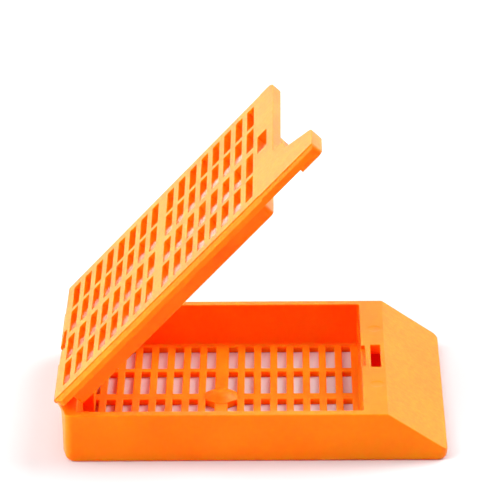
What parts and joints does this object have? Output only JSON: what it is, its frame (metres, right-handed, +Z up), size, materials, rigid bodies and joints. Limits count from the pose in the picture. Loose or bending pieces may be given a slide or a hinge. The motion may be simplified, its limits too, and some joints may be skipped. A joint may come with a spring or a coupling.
{
  "type": "tissue cassette",
  "caption": "One-piece moulded tissue cassette: slotted specimen chamber, sloped writing end, and a slotted snap lid with a finger tab on a living hinge, standing ajar.",
  "frame": {"origin": "on the underside, below the middle of the slotted floor", "axes": "+X from the hinge to the writing end, +Y across to the side away from the finger tab, +Z up"},
  "size_m": [0.0416, 0.0286, 0.0362],
  "materials": {
    "acetal": "satin, slightly translucent"
  },
  "bodies": {
    "base": {"base": "acetal", "hinge_web": "acetal"},
    "lid": {"lid": "acetal"}
  },
  "joints": [
    {"name": "lid_hinge", "type": "hinge", "parent": "base", "child": "lid", "pos_m": [-0.01721, 0, 0.0055], "axis": [0, -1, 0], "range_deg": [-47, 133], "deforming": ["hinge_web"]}
  ]
}
